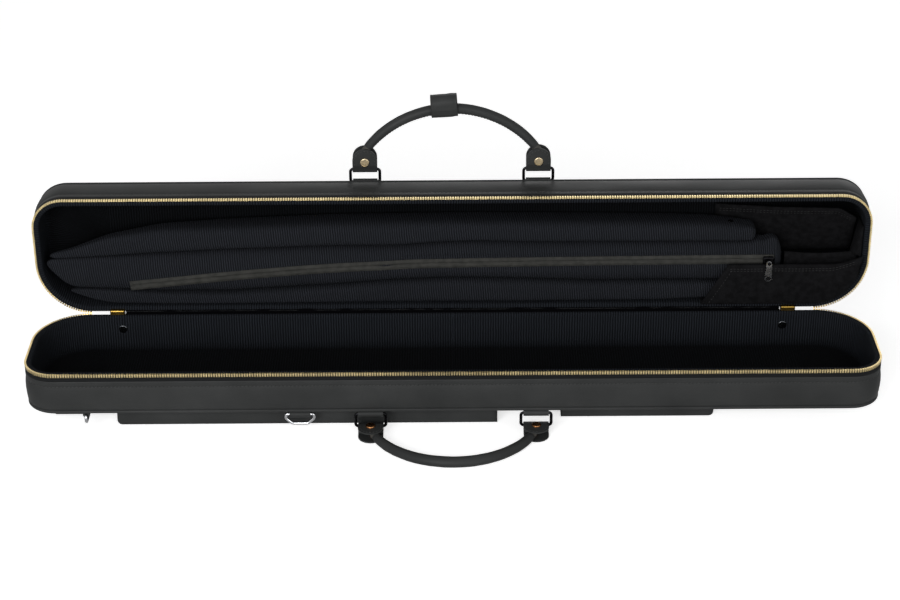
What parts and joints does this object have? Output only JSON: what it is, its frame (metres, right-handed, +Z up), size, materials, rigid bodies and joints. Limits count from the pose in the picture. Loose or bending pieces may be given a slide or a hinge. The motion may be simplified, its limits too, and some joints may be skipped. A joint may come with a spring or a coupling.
{
  "type": "pool cue case",
  "caption": "Hard-shell zipped cue case that opens flat like a book, with padded cue sleeves in the lid, pockets beneath and two carrying handles.",
  "frame": {"origin": "on the plane that the case rests on, under the middle of the tray", "axes": "+X along the case, to the right seen from the front; +Y from the tray's front to the lid; +Z up"},
  "size_m": [0.85, 0.2556, 0.2909],
  "materials": {
    "leather": "smooth coated leather, semi-matte",
    "board": "matte",
    "ribbed_lining": "ribbed cloth, matte",
    "sleeve_cloth": "thin padded cloth, slight sheen",
    "zip_tape": "woven tape, matte",
    "zip_metal": "satin gold-coloured metal",
    "rivet_metal": "polished copper-coloured metal",
    "black_metal": "gloss black",
    "bright_metal": "polished",
    "handle_core": "matte"
  },
  "bodies": {
    "tray": {"tray_boxing": "leather", "tray_face": "leather", "tray_piping": "leather", "tray_board": "board", "tray_wall_lining": "ribbed_lining", "tray_floor_lining": "ribbed_lining", "tray_zip_tape": "zip_tape", "tray_zip_teeth": "zip_metal", "tray_hinge_strip": "leather", "wall_rivets": "rivet_metal", "long_pocket": "leather", "short_pocket": "leather", "front_chapes": "leather", "strap_chape": "leather", "end_tab": "leather", "main_sliders": "zip_metal"},
    "lid": {"lid_boxing": "leather", "lid_face": "leather", "lid_piping": "leather", "lid_board": "board", "lid_wall_lining": "ribbed_lining", "lid_floor_lining": "ribbed_lining", "lid_zip_tape": "zip_tape", "lid_zip_teeth": "zip_metal", "lid_hinge_strip": "leather", "back_chapes": "leather", "upper_sleeve": "sleeve_cloth", "middle_sleeve": "sleeve_cloth", "lower_sleeve": "sleeve_cloth", "sleeve_zip": "zip_tape", "sleeve_snap": "black_metal", "end_pocket_front": "sleeve_cloth", "end_pocket_divider": "sleeve_cloth", "end_pocket_back": "sleeve_cloth", "end_pocket_gusset": "sleeve_cloth"},
    "front_rings": {"front_rings": "black_metal"},
    "front_handle": {"front_handle_core": "handle_core", "front_handle_grip": "leather", "front_handle_tabs": "leather", "front_handle_rivets": "rivet_metal"},
    "back_rings": {"back_rings": "black_metal"},
    "back_handle": {"back_handle_core": "handle_core", "back_handle_grip": "leather", "back_handle_tabs": "leather", "back_handle_rivets": "rivet_metal"},
    "wrap": {"handle_wrap": "leather"},
    "strap_ring": {"strap_ring": "bright_metal"},
    "end_ring": {"end_ring": "bright_metal"},
    "left_pull": {"left_main_pull": "bright_metal"},
    "right_pull": {"right_main_pull": "bright_metal"},
    "sleeve_slider": {"sleeve_slider": "black_metal"},
    "sleeve_pull": {"sleeve_pull": "black_metal"}
  },
  "joints": [
    {"name": "lid_hinge", "type": "hinge", "parent": "tray", "child": "lid", "pos_m": [0, 0.064, 0.0698], "axis": [-1, 0, 0], "range_deg": [-90, 30]},
    {"name": "front_rings_swing", "type": "hinge", "parent": "tray", "child": "front_rings", "pos_m": [0, -0.0605, 0.0213], "axis": [-1, 0, 0], "range_deg": [-10, 90]},
    {"name": "front_handle_swing", "type": "hinge", "parent": "front_rings", "child": "front_handle", "pos_m": [0, -0.0605, 0.007], "axis": [-1, 0, 0], "range_deg": [-90, 0]},
    {"name": "back_rings_swing", "type": "hinge", "parent": "lid", "child": "back_rings", "pos_m": [0, 0.1125, 0.1943], "axis": [1, 0, 0], "range_deg": [-120, 20]},
    {"name": "back_handle_swing", "type": "hinge", "parent": "back_rings", "child": "back_handle", "pos_m": [0, 0.1125, 0.2086], "axis": [1, 0, 0], "range_deg": [-30, 60]},
    {"name": "wrap_swing", "type": "hinge", "parent": "back_handle", "child": "wrap", "pos_m": [-0.007, 0.1125, 0.2746], "axis": [0.9979, 0, 0.0654], "range_deg": [-60, 60]},
    {"name": "strap_ring_swing", "type": "hinge", "parent": "tray", "child": "strap_ring", "pos_m": [-0.152, -0.0605, 0.0213], "axis": [-1, 0, 0], "range_deg": [-20, 90]},
    {"name": "end_ring_swing", "type": "hinge", "parent": "tray", "child": "end_ring", "pos_m": [-0.364, -0.051, 0.0213], "axis": [0, 1, 0], "range_deg": [-90, 60]},
    {"name": "left_pull_swing", "type": "hinge", "parent": "tray", "child": "left_pull", "pos_m": [-0.34525, 0.0682, 0.0628], "axis": [1, 0, 0], "range_deg": [-3, 40]},
    {"name": "right_pull_swing", "type": "hinge", "parent": "tray", "child": "right_pull", "pos_m": [0.34525, 0.0682, 0.0628], "axis": [1, 0, 0], "range_deg": [-3, 40]},
    {"name": "sleeve_slider_travel", "type": "slide", "parent": "lid", "child": "sleeve_slider", "axis": [-1, 0, 0], "range_m": [0, 0.36]},
    {"name": "sleeve_pull_swing", "type": "hinge", "parent": "sleeve_slider", "child": "sleeve_pull", "pos_m": [0.322, 0.0563, 0.1258], "axis": [0, 1, 0], "range_deg": [-80, 80]}
  ]
}
